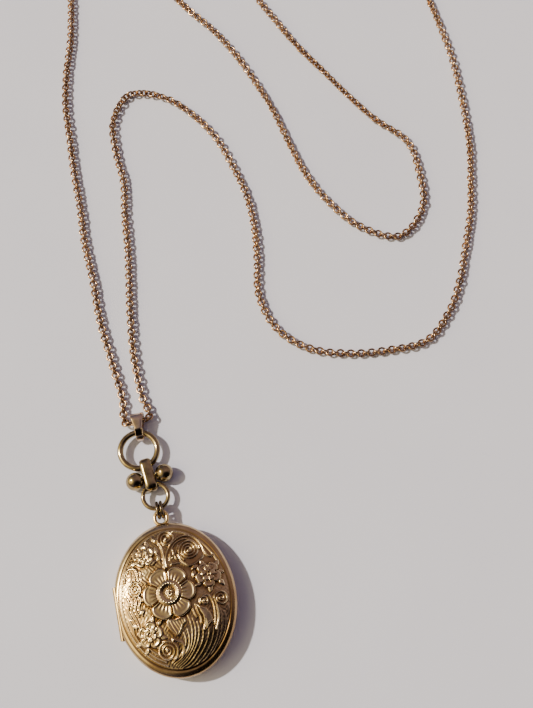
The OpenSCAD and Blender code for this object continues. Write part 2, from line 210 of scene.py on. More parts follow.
def relief_metal():
    """The embossed cover: full-tone high places, and a brown tone in the hollows that is partly tarnish and
    partly painted shade; the rim and its groove get painted shade too.
    """
    material, tree, shader = new_material("embossed_gilt")
    shader.inputs["Metallic"].default_value = 1
    painted_shade_and_patina = tree.nodes.new("ShaderNodeAttribute")
    painted_shade_and_patina.attribute_name = "painted_shade_and_patina"
    stain = add_noise(tree, 260, 4)
    bright = add_ramp(tree, stain, [(0.3, (0.50, 0.35, 0.19)), (0.5, (0.61, 0.46, 0.26)),
                                    (0.72, (0.72, 0.57, 0.35))])
    # Tarnish and painted shade: the mesh's attribute darkens the hollows, the rim towards the lower right
    # and the groove round the field.
    patina_and_painted_shade = add_ramp(tree, painted_shade_and_patina.outputs["Fac"], [(0.05, (0.22, 0.15, 0.09)),
                                                    (0.4, (0.68, 0.58, 0.46)), (0.6, (1, 1, 1))])
    tone = mix_colors(tree, None, bright, patina_and_painted_shade, "MULTIPLY")
    tree.links.new(tone, shader.inputs["Base Color"])
    polish = add_range(tree, add_noise(tree, 900, 4), 0.13, 0.28)
    tree.links.new(polish, shader.inputs["Roughness"])
    add_bump(tree, shader, add_noise(tree, 2600, 4), 0.2, 0.02)
    return material


def paper():
    material, tree, shader = new_material("card")
    tone = add_ramp(tree, add_noise(tree, 180, 5), [(0.3, (0.62, 0.55, 0.42)), (0.7, (0.80, 0.75, 0.62))])
    tree.links.new(tone, shader.inputs["Base Color"])
    shader.inputs["Roughness"].default_value = 0.85
    add_bump(tree, shader, add_noise(tree, 5000, 2), 0.2, 0.02)
    return material


def clear_sheet():
    material, tree, shader = new_material("clear_sheet")
    haze = add_ramp(tree, add_noise(tree, 300, 3), [(0.3, (0.92, 0.93, 0.92)), (0.7, (0.98, 0.98, 0.97))])
    tree.links.new(haze, shader.inputs["Base Color"])
    shader.inputs["Roughness"].default_value = 0.12
    shader.inputs["Transmission Weight"].default_value = 1
    shader.inputs["IOR"].default_value = 1.45
    return material


GILT = relief_metal()
PLAIN_GILT = metal("plain_gilt", (0.82, 0.60, 0.28), (0.62, 0.42, 0.18), (0.18, 0.32), blotch=250)
WORN_GILT = metal("worn_gilt", (0.64, 0.44, 0.19), (0.36, 0.24, 0.11), (0.16, 0.3), blotch=250)
ANTIQUE = metal("antique_brass", (0.46, 0.36, 0.19), (0.20, 0.14, 0.08), (0.1, 0.2), blotch=500,
                scratch=0.15)
ROSE = metal("rose_chain", (0.55, 0.345, 0.195), (0.25, 0.15, 0.09), (0.14, 0.26), blotch=700)
# Dark oxide on the jump rings, made darker still as painted shade for the hollow of the eye they hang in.
OXIDE_AND_SHADE_BRASS = metal("oxidised_brass_and_painted_shade", (0.24, 0.18, 0.11), (0.07, 0.05, 0.04), (0.12, 0.24), blotch=500,
                 scratch=0.15)
# The bail's metal carries the painted black reflection on its foot.
PALE = metal("pale_gilt", (0.76, 0.58, 0.42), (0.44, 0.31, 0.23), (0.1, 0.2), blotch=500, scratch=0.15,
             painted_reflection=True)
BOLT = metal("pale_bolt", (0.88, 0.78, 0.62), (0.66, 0.54, 0.40), (0.14, 0.26), blotch=500)
STEEL = metal("spring_steel", (0.62, 0.62, 0.62), (0.45, 0.45, 0.46), (0.25, 0.35))
CARD = paper()
CLEAR = clear_sheet()

# ---------- mesh helpers, all in millimetres ----------

def add_piece(name, points, faces, material, body, stands_for=()):
    mesh = bpy.data.meshes.new(name)
    mesh.from_pydata((np.asarray(points, float) * MM).tolist(), [], faces)
    mesh.shade_smooth()
    mesh.materials.append(material)
    piece = bpy.data.objects.new(name, mesh)
    bpy.context.scene.collection.objects.link(piece)
    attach(piece, body)
    if stands_for:
        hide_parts(*stands_for)
    return piece


def sharpen(piece, degrees=35):
    """Keeps the edges sharp where two faces meet at more than that angle."""
    piece.data.set_sharp_from_angle(angle=math.radians(degrees))


def ring_faces(rows, columns, start=0, close_rows=False):
    """Quads between successive rings of points."""
    faces = []
    for row in range(rows if close_rows else rows - 1):
        here = start + row * columns
        after = start + (row + 1) % rows * columns
        for k in range(columns):
            m = (k + 1) % columns
            faces.append((here + k, here + m, after + m, after + k))
    return faces


def end_faces(rows, columns, start=0):
    last = start + (rows - 1) * columns
    return [tuple(start + k for k in range(columns - 1, -1, -1)), tuple(last + k for k in range(columns))]


def unit(v):
    v = np.asarray(v, float)
    return v / np.linalg.norm(v, axis=-1, keepdims=True)


def smooth_route(points, steps=14):
    """A Catmull-Rom curve through the points."""
    p = np.array(points, float)
    p = np.vstack([2 * p[0] - p[1], p, 2 * p[-1] - p[-2]])
    t = np.linspace(0, 1, steps, endpoint=False)[:, None]
    parts = []
    for a, b, c, d in zip(p, p[1:], p[2:], p[3:]):
        parts.append(0.5 * (2 * b + (c - a) * t + (2 * a - 5 * b + 4 * c - d) * t**2
                            + (3 * b - a - 3 * c + d) * t**3))
    return np.vstack(parts + [p[-2:-1]])


def route_length(line):
    return float(np.linalg.norm(np.diff(line, axis=0), axis=1).sum())


def walk(line, distances):
    """Points and headings at those distances along a line."""
    along = np.r_[0, np.cumsum(np.linalg.norm(np.diff(line, axis=0), axis=1))]

    def at(s):
        return np.stack([np.interp(s, along, line[:, k]) for k in range(3)], axis=-1)

    return at(distances), unit(at(distances + 0.3) - at(distances - 0.3))


# ---------- neck chain ----------

def rolo_chain(name, route):
    """Nearly round links threaded along the route, each a quarter turn from the last."""
    line = smooth_route(route)
    length = route_length(line)
    count = round(length / LINK_PITCH)
    centres, headings = walk(line, (np.arange(count) + 0.5) * length / count)
    rounds, sides = 24, 8
    around = np.arange(rounds) * 2 * math.pi / rounds
    section = np.arange(sides) * 2 * math.pi / sides
    sway = np.random.default_rng(len(name)).normal(0, LINK_SWAY_DEG, count)
    points, faces = [], []
    for i, (centre, ahead) in enumerate(zip(centres, headings)):
        roll = math.radians(90 * (i % 2) + sway[i] + LINK_TWIST_DEG * math.sin(i * 0.11))
        side = unit(np.cross(ahead, (0, 0, 1)))
        across = math.cos(roll) * side + math.sin(roll) * np.cross(side, ahead)
        out = np.cos(around)[:, None] * ahead + np.sin(around)[:, None] * across
        normal = np.cross(ahead, across)
        middle = LINK_LONG_R * np.cos(around)[:, None] * ahead + LINK_R * np.sin(around)[:, None] * across
        wire = np.cos(section)[None, :, None] * out[:, None, :] + np.sin(section)[None, :, None] * normal
        ring = middle[:, None, :] + LINK_WIRE_R * wire
        points.append((centre + ring).reshape(-1, 3))
        faces += ring_faces(rounds, sides, i * rounds * sides, close_rows=True)
    piece = add_piece(name + "_links", np.vstack(points), faces, ROSE, "neck_chain", (name,))


# ---------- locket shells ----------

def oval_rings(profile, segments):
    """Rings of points: each profile entry is (scale, inset, z)."""
    t = np.arange(segments) * 2 * math.pi / segments
    rows = [np.stack([(HALF_W * s - d) * np.cos(t), (HALF_L * s - d) * np.sin(t), np.full(segments, z)], 1)
            for s, d, z in profile]
    return np.vstack(rows)


def clear_of_barrel(points, way, wall):
    """Opens room for the hinge: way is -1 in the back half and 1 in the cover, which gets a flat side."""
    if way > 0:
        points[:, 0] = np.maximum(points[:, 0], HINGE_FLAT + wall)
    dx = points[:, 0] - HINGE_X
    lift = np.sqrt(np.clip(BARREL_CLEAR**2 - dx**2, 0, None))
    if way < 0:
        lift = np.where(dx < 0, RIM_NOTCH, lift)
    inside = (np.abs(points[:, 1] - HINGE_Y) < HINGE_REACH) & (dx < BARREL_CLEAR)
    height = (points[:, 2] - PART_Z) * way
    points[:, 2] = np.where(inside & (height < lift), PART_Z + way * lift, points[:, 2])
    return points


def oval_solid(name, profile, material, body, hollow=False, segments=360):
    """Smooth twin of an oval CAD node: a capped bowl or plate, or a closed band when hollow."""
    way = 1 if body == "cover" else -1
    points = clear_of_barrel(oval_rings(profile, segments), way, SHEET + 0.02)
    faces = ring_faces(len(profile), segments, close_rows=hollow)
    if not hollow:
        faces += end_faces(len(profile), segments)
    piece = add_piece(name + "_smooth", points, faces, material, body, (name,))
    sharpen(piece)
    return piece


BACK_PROFILE = [
    (0.74, 0, 0), (0.78, 0, 0.03), (0.82, 0, 0.12), (0.86, 0, 0.31), (0.89, 0, 0.55), (0.92, 0, 0.86),
    (0.945, 0, 1.22), (0.965, 0, 1.65), (0.98, 0, 2.1), (0.993, 0, 2.6), (1, 0, 3.1), (1, 0, 3.9),
    (1, 0.06, PART_Z - RIM_GAP), (1, 0.46, PART_Z - RIM_GAP), (1, SHEET, 3.85), (1, SHEET, 2.3),
    (0.93, 0, 1.65), (0.88, 0, 1.05), (0.81, 0, 0.62), (0.73, 0, 0.5)]

# ---------- embossed cover ----------

# The cover's outer face from its centre to its edge: (share of the way, height above the floor)
DOME = [(0, 8.4), (0.2, 8.34), (0.4, 8.15), (0.56, 7.8), (0.7, 7.3), (0.8, 6.75), (0.86, 6.35),
        (0.888, 6.13), (0.904, 5.9), (0.918, 6.02), (0.94, 5.9), (0.96, 5.72), (0.975, 5.53),
        (0.987, 5.3), (0.995, 5.05), (1, 4.75)]
GRID = 278
# The relief's field, how far it is sunk, and the groove round it
FIELD_EDGE = 0.885
FIELD_SINK = 0.14
GROOVE = 0.904
# These take the millimetres that the relief's strokes are written in to the cover's
FACE_SCALE = 0.989
FACE_SHIFT = (0.57, -0.33)


def steps(edge, width, value):
    """A smooth step from 0 to 1 as value passes edge."""
    t = np.clip((value - edge) / width + 0.5, 0, 1)
    return t * t * (3 - 2 * t)


class Relief:
    """A height field over points of the cover, raised by the strokes laid on it."""

    def __init__(self, x, y):
        self.x = (x - FACE_SHIFT[0]) / FACE_SCALE
        self.y = (y - FACE_SHIFT[1]) / FACE_SCALE
        self.height = np.zeros_like(x)

    def near(self, low, high, margin):
        return np.flatnonzero((self.x > low[0] - margin) & (self.x < high[0] + margin)
                              & (self.y > low[1] - margin) & (self.y < high[1] + margin))

    def lift(self, where, height):
        self.height[where] = np.maximum(self.height[where], height)

    def distance(self, line, margin):
        """The points near a line, and how far each is from it."""
        where = self.near(line.min(0), line.max(0), margin)
        best = np.full(len(where), 1e9)
        px, py = self.x[where], self.y[where]
        for (ax, ay), (bx, by) in zip(line, line[1:]):
            dx, dy = bx - ax, by - ay
            t = np.clip(((px - ax) * dx + (py - ay) * dy) / max(dx * dx + dy * dy, 1e-9), 0, 1)
            best = np.minimum(best, np.hypot(px - ax - t * dx, py - ay - t * dy))
        return where, best

    def stroke(self, points, width=0.32, height=0.34, curved=True):
        """A raised round-topped line."""
        line = np.array(points, float)
        if curved and len(line) > 2:
            flat = np.c_[line, np.zeros(len(line))]
            line = smooth_route(flat, 6)[:, :2]
        where, far = self.distance(line, 1.2 * width)
        self.lift(where, height * (0.5 + 0.5 * np.cos(math.pi * np.clip(far / (1.2 * width), 0, 1))))

    def spiral(self, centre, outer, turns, start, way=1, width=0.3, height=0.34, inner=0.25):
        """A raised spiral that winds in from start degrees, with a bead at its eye."""
        t = np.linspace(0, 1, int(turns * 22))
        angle = math.radians(start) + way * 2 * math.pi * turns * t
        radius = outer + (inner - outer) * t
        line = np.c_[centre[0] + radius * np.cos(angle), centre[1] + radius * np.sin(angle)]
        self.stroke(line, width, height, curved=False)
        self.bead(centre, 0.42, height + 0.05)

    def bead(self, centre, radius, height):
        where = self.near(centre, centre, radius)
        far = np.hypot(self.x[where] - centre[0], self.y[where] - centre[1]) / radius
        self.lift(where, height * np.sqrt(np.clip(1 - far**2, 0, 1)))

    def leaf(self, outline, height=0.4, rim=0.12, flutes=0.0):
        """A raised cushion with a lip round its outline."""
        closed = np.array(outline + outline[:1], float)
        loop = smooth_route(np.c_[closed, np.zeros(len(closed))], 5)[:, :2]
        where, far = self.distance(loop, 0.1)
        px, py = self.x[where], self.y[where]
        inside = np.zeros(len(where), bool)
        for (ax, ay), (bx, by) in zip(loop, np.roll(loop, -1, axis=0)):
            if ay != by:
                crosses = (ay > py) != (by > py)
                inside ^= crosses & (px < (bx - ax) * (py - ay) / (by - ay) + ax)
        body = height * (1 - np.exp(-far / 0.16)) * 0.8
        lip = rim * np.exp(-(((far - 0.3) / 0.17) ** 2))
        wave = flutes * np.cos(9 * px + 4 * py) * steps(0.6, 0.4, far)
        self.lift(where[inside], (body + lip + wave)[inside])

    def flower(self, centre, radius, headings, height=0.4, flutes=0.05, square=0.3):
        """Petals that point along the headings, in degrees."""
        where = self.near(centre, centre, radius * 1.05)
        dx, dy = self.x[where] - centre[0], self.y[where] - centre[1]
        far, angle = np.hypot(dx, dy), np.arctan2(dy, dx)
        turned = angle[:, None] - np.radians(headings) + math.pi
        off, other = np.sort(np.abs(turned % (2 * math.pi) - math.pi), axis=1)[:, :2].T
        half = (off + other) / 2
        edge = radius * (1 - square * (off / half) ** 3)
        outer = edge - far
        side = (half - off) * far
        rise = steps(0.0, 0.24, outer) * steps(0.08 * radius / 6, 0.3, side)
        lip = 0.1 * np.exp(-(((np.minimum(outer, side) - 0.42) / 0.26) ** 2))
        groove = flutes * np.cos(off / half * 15) * steps(-0.68 * radius, 0.2 * radius, -far)
        body = height * (0.62 + 0.38 * far / radius)
        self.lift(where, rise * (body + lip + groove))

    def beads_round(self, centre, radius, count, size, height):
        for k in range(count):
            angle = 2 * math.pi * k / count
            place = (centre[0] + radius * math.cos(angle), centre[1] + radius * math.sin(angle))
            self.bead(place, size, height)

    def arch(self, scale, from_deg, to_deg, width=0.24, height=0.22):
        """A line that follows the oval of the border."""
        angle = np.radians(np.linspace(from_deg, to_deg, 40))
        x = (HALF_W * scale * np.cos(angle) - FACE_SHIFT[0]) / FACE_SCALE
        y = (HALF_L * scale * np.sin(angle) - FACE_SHIFT[1]) / FACE_SCALE
        self.stroke(np.c_[x, y], width, height, curved=False)


def emboss_flowers(r):
    eye = (-1.6, 1.5)
    r.flower(eye, 6.6, [-4, 57, 116, 176, 238, 302], height=0.52, flutes=0.05, square=0.24)
    cup_r, crest_r, slope = 3.2, 2.4, 0.85
    where = r.near(eye, eye, cup_r + 0.2)
    far = np.hypot(r.x[where] - eye[0], r.y[where] - eye[1])
    ridge = 0.34 + 0.36 * np.clip(1 - np.abs(far - crest_r) / slope, 0, 1)
    r.height[where] = np.where(far < cup_r, ridge, r.height[where])
    r.beads_round(eye, crest_r, 22, 0.27, 0.84)
    for k in range(18):
        a = 2 * math.pi * k / 18
        spoke = [(eye[0] + d * math.cos(a), eye[1] + d * math.sin(a)) for d in (0.95, 1.6)]
        r.stroke(spoke, 0.14, 0.44, curved=False)
    r.bead(eye, 0.95, 0.5)
    r.beads_round(eye, 0.72, 9, 0.2, 0.6)
    r.bead(eye, 0.42, 0.8)
    for centre, radius, turn in (((-6.4, 11.9), 2.9, 20), ((8.7, 4.0), 3.2, 50), ((-8.0, -7.4), 3.2, 80)):
        r.flower(centre, radius, [turn + 72 * k for k in range(5)], height=0.38, flutes=0.05)
        r.flower(centre, radius * 0.55, [turn + 36 + 72 * k for k in range(5)], height=0.5, flutes=0.0)
        r.beads_round(centre, radius * 0.24, 5, 0.28, 0.6)
        r.bead(centre, 0.3, 0.62)


def emboss_spirals(r):
    r.spiral((-0.1, 15.1), 2.2, 2.4, 200, -1)
    r.stroke([(-2.2, 14.6), (-1.6, 13.2), (-1.4, 11), (-1.6, 7.6)], 0.34, 0.32)
    r.spiral((5.1, 11.0), 2.7, 3.2, 235, -1, width=0.32)
    r.stroke([(-1.1, 7.9), (-1.1, 10), (-0.2, 12), (1.1, 13.5), (2.9, 14.6), (5, 14.9), (7, 13.9),
              (8.2, 12.1), (8.8, 10), (9.2, 9), (10, 8.4), (11.1, 8.9)], 0.32, 0.34)
    r.stroke([(0.1, 9.6), (0.5, 11.6), (2, 13.4), (4.2, 14.1), (6, 13.5), (7.3, 12.3), (7.8, 10.9)],
             0.26, 0.28)
    r.stroke([(0.7, 9.9), (1.6, 11), (2.5, 12.6)], 0.28, 0.3)
    r.stroke([(2.3, 9.3), (1.5, 9.7), (1.0, 11.9)], 0.26, 0.26)
    r.stroke([(2.3, 10.4), (2.7, 8.9), (3.5, 7.9), (4.5, 7.1), (6, 7.2), (7.4, 8.0), (8.4, 8.9)],
             0.34, 0.36)
    r.stroke([(4.4, 6.9), (3.4, 7.5), (2.2, 8.2), (0.2, 8.3)], 0.26, 0.26)
    r.spiral((-9.7, 4.1), 1.9, 2.4, 60, 1)
    r.stroke([(-12.1, 6.6), (-12, 8.1), (-11, 9.4), (-9.9, 9.5), (-8.9, 8.9), (-8.6, 7.8)], 0.34, 0.34)
    r.spiral((6.6, -2.2), 1.15, 1.5, 200, -1)
    r.stroke([(5.6, -1.6), (6.7, -0.9), (7.9, -1.3), (8.6, -3.3), (8.5, -6), (8.0, -8.2)], 0.28, 0.32)
    r.spiral((10.7, -2.3), 1.75, 2.1, 170, -1)
    r.stroke([(9.1, -1.9), (9.3, -4), (9.1, -6.8), (8.1, -9.3)], 0.26, 0.3)
    r.spiral((-4.5, -11.9), 2.6, 2.7, -60, 1, width=0.34)
    r.stroke([(-2.3, -9.8), (-1.3, -10.2), (-0.6, -11), (-0.5, -12.2), (-1.2, -13.8)], 0.3, 0.32)
    r.bead((-2.6, -9.7), 0.55, 0.36)


# Stems of the fan, from the tip down to the foot
FAN_STEMS = [
    [(0.2, -8.6), (0.4, -10.2), (-0.3, -12.1), (-1.9, -13.8), (-3.9, -14.8)],
    [(1.2, -8.0), (1.3, -10.1), (0.6, -12.2), (-1.1, -14.0), (-3.5, -15.2)],
    [(1.9, -4.8), (2.3, -6.6), (2.2, -9.2), (1.3, -11.9), (-0.6, -14.1), (-3.1, -15.6)],
    [(2.9, -5.6), (3.2, -7.6), (2.8, -10.1), (1.6, -12.5), (-0.3, -14.5), (-2.7, -15.9)],
    [(3.9, -6.7), (4.0, -8.5), (3.3, -10.9), (1.8, -13.2), (-0.2, -15.1), (-2.3, -16.2)],
    [(4.9, -8.6), (4.8, -9.9), (3.9, -11.9), (2.2, -14.0), (0.2, -15.7), (-1.9, -16.5)],
    [(6.4, -8.9), (6.0, -10.3), (4.9, -12.3), (3.0, -14.5), (0.8, -16.2), (-1.3, -16.9)],
    [(7.6, -8.8), (7.1, -10.5), (5.9, -12.7), (3.9, -14.9), (1.6, -16.6)],
    [(8.9, -8.2), (8.3, -10.4), (7.0, -12.7), (5.0, -14.9), (2.8, -16.5)],
    [(9.8, -4.2), (10.0, -6.8), (9.5, -9.4), (8.3, -11.8), (6.4, -14.2), (4.3, -16.0)],
    [(10.8, -5.6), (10.8, -8.0), (10.0, -10.5), (8.6, -12.7), (6.6, -14.9)],
    [(12.0, -4.2), (11.9, -7.0), (11.2, -9.6), (9.9, -12.0)]]


def emboss_stems(r):
    for k in range(4):
        x = -10.5 + 0.85 * k
        r.stroke([(x, 8.9 - 0.2 * k), (x + 0.2, 7.4), (x + 0.1, 6.2), (x + 1.1, 5.0)], 0.25, 0.28)
    for k in range(4):
        x = -12.7 + 0.95 * k
        r.stroke([(x + 0.5, 2.6), (x + 0.9, 1.2), (x + 0.3, -0.6), (x + 0.9, -2.4)], 0.27, 0.28)
    for k in range(3):
        r.stroke([(-12.4 + 0.8 * k, -3.0 + 0.2 * k), (-11.9 + 0.8 * k, -4.6), (-11.9 + 0.7 * k, -6.6)],
                 0.25, 0.26)
    for stem in FAN_STEMS:
        r.stroke(stem, 0.26, 0.085)
    for scale, start, stop in ((0.865, 104, 250), (0.82, 116, 152), (0.775, 122, 146), (0.82, 205, 248),
                               (0.775, 208, 240), (0.865, 22, 80)):
        r.arch(scale, start, stop)


def emboss_leaves(r):
    r.leaf([(-3.2, -4.4), (-3.6, -6.0), (-2.8, -7.7), (-1.4, -9.1), (-0.2, -8.0), (0.4, -6.9), (1.3, -6.2),
            (1.2, -5.1), (0.2, -4.7), (-1.4, -4.9)], 0.3, 0.1, 0.035)
    r.stroke([(-2.6, -5.2), (-2.1, -6.8), (-1.4, -8.4)], 0.2, 0.4)
    r.stroke([(4.3, -2.6), (4.5, -4.4), (4.9, -5.8), (4.8, -7.2)], 0.28, 0.36)
    r.stroke([(3.4, -3.4), (3.6, -4.6), (4.0, -5.6)], 0.24, 0.3)
    r.leaf([(4.5, -2.5), (5.5, -3.2), (6.7, -3.9), (7.6, -5.6), (7.9, -7.8), (6.9, -7.6), (5.6, -9.0),
            (5.9, -6.6), (5.0, -4.6)], 0.36, 0.1, 0.0)
    r.stroke([(5.0, -3.4), (5.7, -5.2), (5.8, -7.0), (5.2, -8.8)], 0.26, 0.46)
    buds = [(-3.1, 12.4, 100), (-2.7, 10.6, 110), (-2.9, 15.4, 150), (-8.8, 13.6, 140), (-9.2, 10.6, 190),
            (-4.4, 9.6, 20), (-5.2, 14.5, 95), (5.9, 6.4, 200), (5.3, 4.9, 250), (7.8, 6.9, 120),
            (11.3, 6.4, 60), (11.8, 4.2, 350), (11.6, 1.6, 300), (8.6, 0.6, 260), (6.0, 2.0, 190),
            (-5.2, -5.0, 40), (-5.0, -8.6, 340), (-6.8, -4.0, 70), (-11.0, -8.9, 210), (-9.4, -10.9, 230),
            (-6.4, -10.6, 290), (-11.2, -4.6, 150), (-8.6, 1.4, 120), (-9.0, -1.6, 200)]
    for x, y, heading in buds:
        a = math.radians(heading)
        along, across = np.array([math.cos(a), math.sin(a)]), np.array([-math.sin(a), math.cos(a)])
        middle = np.array([x, y])
        root, tip, belly = middle - 1.0 * along, middle + 1.2 * along, middle - 0.1 * along
        bud = [root, belly - 0.62 * across, tip, belly + 0.62 * across]
        r.leaf([tuple(corner) for corner in bud], 0.34, 0.06)


def blur(field, reach):
    """Mean over a square of neighbours."""
    for axis in (0, 1):
        padded = np.concatenate([np.repeat(np.take(field, [0], axis), reach, axis), field,
                                 np.repeat(np.take(field, [-1], axis), reach + 1, axis)], axis)
        total = np.cumsum(padded, axis)
        width = 2 * reach + 1
        size = field.shape[axis]
        ahead, behind = np.take(total, range(width, width + size), axis), np.take(total, range(size), axis)
        field = (ahead - behind) / width
    return field


def cover_heights():
    """The cover's outer face on a square grid bent to the oval: points, and a tone for each that darkens the
    hollows with tarnish and painted shade and paints shade on the rim.
    """
    u, v = np.meshgrid(np.linspace(-1, 1, GRID + 1), np.linspace(-1, 1, GRID + 1), indexing="ij")
    ex, ey = u * np.sqrt(1 - v * v / 2), v * np.sqrt(1 - u * u / 2)
    out = np.hypot(ex, ey)
    x, y = HALF_W * ex, HALF_L * ey
    r = Relief(x.ravel(), y.ravel())
    emboss_stems(r)
    emboss_spirals(r)
    emboss_leaves(r)
    emboss_flowers(r)
    in_field = steps(-FIELD_EDGE, 0.02, -out)
    height = r.height.reshape(x.shape) * in_field
    pitted = 0.012 * (np.sin(7.1 * x + 3 * np.sin(2.3 * y)) + np.sin(6.3 * y + 3 * np.sin(2.9 * x)))
    z = blur(np.interp(out, *zip(*DOME)), 1) + height - FIELD_SINK * in_field
    z += pitted * (height < 0.02) * (out < FIELD_EDGE)
    z[out > 0.999] = DOME[-1][1]
    # Tarnish and painted shade: points lower than their blurred surroundings get a darker tone, so the
    # hollows darken.
    raised = np.clip(0.55 + (height - blur(blur(height, 5), 5)) / 0.42, 0, 1)
    # Painted shade: the rim darkens towards the lower right, and a dark line is painted along the groove.
    rim_painted_shade = 0.5 - 0.12 * (0.62 * ex - 0.78 * ey) / np.maximum(out, 0.1)
    raised = np.where(out > FIELD_EDGE, rim_painted_shade - 0.4 * np.exp(-(((out - GROOVE) / 0.01) ** 2)), raised)
    return np.stack([x, y, z], -1), raised


def embossed_cover():
    grid, raised = cover_heights()
    side = GRID + 1
    index = np.arange(side * side).reshape(side, side)
    quads = np.stack([index[:-1, :-1], index[1:, :-1], index[1:, 1:], index[:-1, 1:]], -1).reshape(-1, 4)
    edge = np.r_[index[:-1, 0], index[-1, :-1], index[:0:-1, -1], index[0, :0:-1]]
    rim = grid.reshape(-1, 3)[edge]
    turn_x, turn_y = rim[:, 0] / HALF_W, rim[:, 1] / HALF_L
    below = [(1, 0, 4.4), (1, 0, 4.1), (1, 0.06, PART_Z + RIM_GAP), (1, 0.45, PART_Z + RIM_GAP),
             (1, SHEET, 4.1), (1, SHEET, 4.9), (0.94, 0.3, 5.35)]
    rows = [np.stack([(HALF_W * s - d) * turn_x, (HALF_L * s - d) * turn_y, np.full(len(rim), z)], 1)
            for s, d, z in below]
    start = side * side
    count = len(edge)
    walls = [min(1.1 * d, SHEET) for s, d, z in below[:-1]] + [SHEET]
    wall = np.r_[np.zeros(start), np.repeat(walls, count)]
    points = clear_of_barrel(np.vstack([grid.reshape(-1, 3)] + rows), 1, wall)
    faces = quads.tolist()
    first = start + np.arange(count)
    faces += np.stack([edge, first, np.roll(first, -1), np.roll(edge, -1)], 1).tolist()
    faces += [tuple(reversed(f)) for f in ring_faces(len(rows), count, start)]
    faces.append(tuple(start + (len(rows) - 1) * count + k for k in range(count)))
    piece = add_piece("embossed_cover", points, faces, GILT, "cover", ("front_shell",))
    shades = piece.data.attributes.new("painted_shade_and_patina", "FLOAT", "POINT")
    # The cover's sides below the rim keep one darker tone, close to the rim's painted shade.
    values = np.full(len(points), 0.42)
    values[:start] = raised.ravel()
    shades.data.foreach_set("value", values)


# ---------- wires and bands ----------

def wire_points(line, headings, radius, sides, up):
    """Round wire swept along a line: one ring of points at each place."""
    section = np.arange(sides) * 2 * math.pi / sides
    first = unit(np.cross(headings, up))
    second = np.cross(first, headings)
    ring = np.cos(section)[None, :, None] * first[:, None] + np.sin(section)[None, :, None] * second[:, None]
    return line[:, None] + np.reshape(radius, (-1, 1, 1)) * ring


def bent_ring(node, centre, u, v, radius, wire, seam, material, body, gap=0.05):
    """A ring of round wire in the plane of u and v, bent shut at the seam."""
    around = 128
    open_by = math.degrees(gap / radius) / 2
    angle = np.radians(np.linspace(seam + open_by, seam + 360 - open_by, around))[:, None]
    u, v = unit(u), unit(v)
    line = np.array(centre) + radius * (np.cos(angle) * u + np.sin(angle) * v)
    headings = -np.sin(angle) * u + np.cos(angle) * v
    thick = np.full(around, wire) * (1 + 0.012 * np.sin(3 * angle[:, 0]) + 0.008 * np.sin(7 * angle[:, 0]))
    rings = wire_points(line, headings, thick, WIRE_SIDES, np.cross(u, v))
    inner = 0.82
    first, last = rings[:1], rings[-1:]
    caps = [line[:1, None] + (first - line[:1, None]) * inner - 0.06 * wire * headings[:1, None],
            line[-1:, None] + (last - line[-1:, None]) * inner + 0.06 * wire * headings[-1:, None]]
    rings = np.concatenate([caps[0], rings, caps[1]])
    faces = ring_faces(around + 2, WIRE_SIDES) + end_faces(around + 2, WIRE_SIDES)
    faces = [tuple(reversed(f)) for f in faces]
    piece = add_piece(node + "_bent", rings.reshape(-1, 3), faces, material, body, (node,))
    sharpen(piece, 50)


def loop_line(low, low_r, high, high_r, count=40):
    """Outline of two arcs joined by straight sides, in a plane: places, outward headings."""
    lean = math.acos((low_r - high_r) / (high - low))
    places, outward = [], []
    for x, r, start, stop in ((low, low_r, lean, 2 * math.pi - lean), (high, high_r, -lean, lean)):
        for angle in np.linspace(start, stop, count):
            outward.append((math.cos(angle), math.sin(angle)))
            places.append((x + r * math.cos(angle), r * math.sin(angle)))
    return np.array(places), np.array(outward)


def band_loop(name, node, centre, lean, ends, section, width_at, material, body):
    """A band bent into a loop that stands along the drop: section is (share of half width, height) pairs."""
    places, outward = loop_line(*ends)
    resampled = []
    step = np.linalg.norm(np.roll(places, -1, axis=0) - places, axis=1)
    for k, gap in enumerate(step):
        m = (k + 1) % len(places)
        pieces = max(1, round(gap / 0.3))
        for s in np.arange(pieces) / pieces:
            place, out = (rows[k] * (1 - s) + rows[m] * s for rows in (places, outward))
            resampled.append((*place, *out))
    rings = []
    for along, height, out_a, out_h in resampled:
        half = width_at(along)
        rings.append([(share * half, along + lift * out_a, height + lift * out_h)
                      for share, lift in section])
    x, y, z = np.array(rings).reshape(-1, 3).T
    c, s = math.cos(math.radians(lean)), math.sin(math.radians(lean))
    turned = np.stack([x * c - y * s, x * s + y * c, z], 1)
    faces = ring_faces(len(rings), len(section), close_rows=True)
    piece = add_piece(name, turned + np.array(centre), faces, material, body, (node,))
    sharpen(piece, 60)
    return piece


def domed_section(crown, edge, count=13):
    """Closed outline of a band: a domed outside, rounded edges and a flat inside."""
    spread = np.sin(np.linspace(-1.45, 1.45, count))
    outside = [(x, edge + crown * (1 - abs(x) ** 4.5)) for x in spread]
    inside = [(0.9, 0), (0.45, -0.01), (-0.45, -0.01), (-0.9, 0)]
    return outside + inside


# ---------- drop pieces ----------

